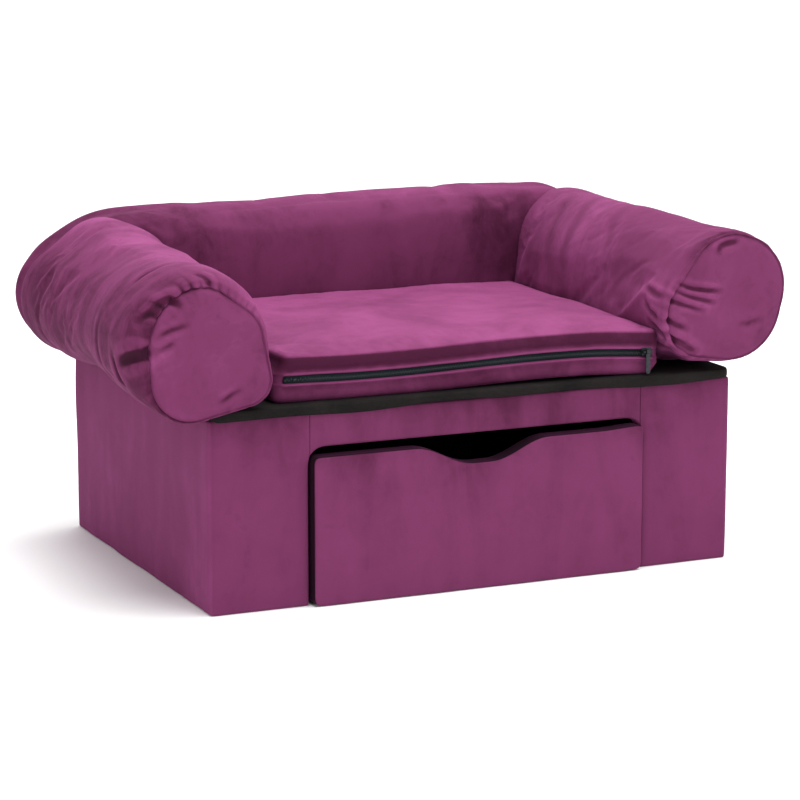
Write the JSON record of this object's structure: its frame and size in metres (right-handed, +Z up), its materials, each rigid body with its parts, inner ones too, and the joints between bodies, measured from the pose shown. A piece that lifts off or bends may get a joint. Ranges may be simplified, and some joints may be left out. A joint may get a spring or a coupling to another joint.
{
  "type": "pet sofa bed with drawer",
  "caption": "Sofa-shaped pet bed: upholstered box with a pull-out drawer, wrapped seat board, rolled arms, backrest and a loose zipped box cushion.",
  "frame": {"origin": "on the floor, at the middle of the footprint's overall box", "axes": "+X to the right for someone facing the front, +Y towards the back, +Z up; the drawer and the arms' round ends face -Y"},
  "size_m": [0.75, 0.46, 0.375],
  "materials": {
    "velvet": "plum velvet with a crushed nap",
    "black_cloth": "thin black non-woven cloth",
    "bare_wood": "unfinished board",
    "black_board": "matt black board",
    "foam": "open-cell foam",
    "fibre_fill": "soft white fibre",
    "zip_tape": "woven tape",
    "zip_coil": "moulded coil",
    "zip_metal": "dark painted metal",
    "screw_steel": "plain zinc",
    "nylon": "low-friction strip"
  },
  "bodies": {
    "base": {"front_board": "bare_wood", "side_board_left": "bare_wood", "side_board_right": "bare_wood", "rear_board": "bare_wood", "bottom_board": "black_board", "corner_post_front_left": "bare_wood", "corner_post_front_right": "bare_wood", "corner_post_rear_left": "bare_wood", "corner_post_rear_right": "bare_wood", "top_rail_left": "bare_wood", "top_rail_right": "bare_wood", "top_rail_rear": "bare_wood", "drawer_guide_left": "bare_wood", "drawer_guide_right": "bare_wood", "base_screws": "screw_steel", "base_cover_left": "velvet", "base_cover_right": "velvet", "base_cover_centre": "velvet", "base_cover_rear": "velvet", "seat_board": "bare_wood", "seat_wrap": "black_cloth", "top_screws": "screw_steel", "backrest_board": "bare_wood", "backrest_foam_front": "foam", "backrest_foam_rear": "foam", "backrest_cover": "velvet", "arm_batten_left": "bare_wood", "arm_batten_right": "bare_wood", "arm_fill_left": "fibre_fill", "arm_fill_right": "fibre_fill", "arm_cover_left": "velvet", "arm_cover_right": "velvet", "arm_cap_left": "velvet", "arm_cap_right": "velvet"},
    "drawer": {"drawer_front_board": "black_board", "drawer_front_cover": "velvet", "drawer_side_left": "black_board", "drawer_side_right": "black_board", "drawer_back": "black_board", "drawer_bottom": "black_board", "drawer_glides": "nylon", "drawer_screws": "screw_steel"},
    "cushion": {"cushion_foam": "foam", "cushion_cover_top": "velvet", "cushion_cover_bottom": "velvet", "cushion_gusset": "velvet", "zip_tape_upper": "zip_tape", "zip_tape_lower": "zip_tape", "zip_coil": "zip_coil", "zip_stops": "zip_metal"},
    "zip_slider": {"zip_slider": "zip_metal"},
    "zip_pull": {"zip_pull": "zip_metal"}
  },
  "joints": [
    {"name": "drawer_slide", "type": "slide", "parent": "base", "child": "drawer", "axis": [0, -1, 0], "range_m": [0, 0.3]},
    {"name": "cushion_lift", "type": "slide", "parent": "base", "child": "cushion", "axis": [0, 0, 1], "range_m": [0, 0.16]},
    {"name": "zip_slide", "type": "slide", "parent": "cushion", "child": "zip_slider", "axis": [-1, 0, 0], "range_m": [0, 0.4]},
    {"name": "pull_hinge", "type": "hinge", "parent": "zip_slider", "child": "zip_pull", "pos_m": [0.2, -0.2135, 0.2382], "axis": [-1, 0, 0], "range_deg": [0, 170]}
  ]
}
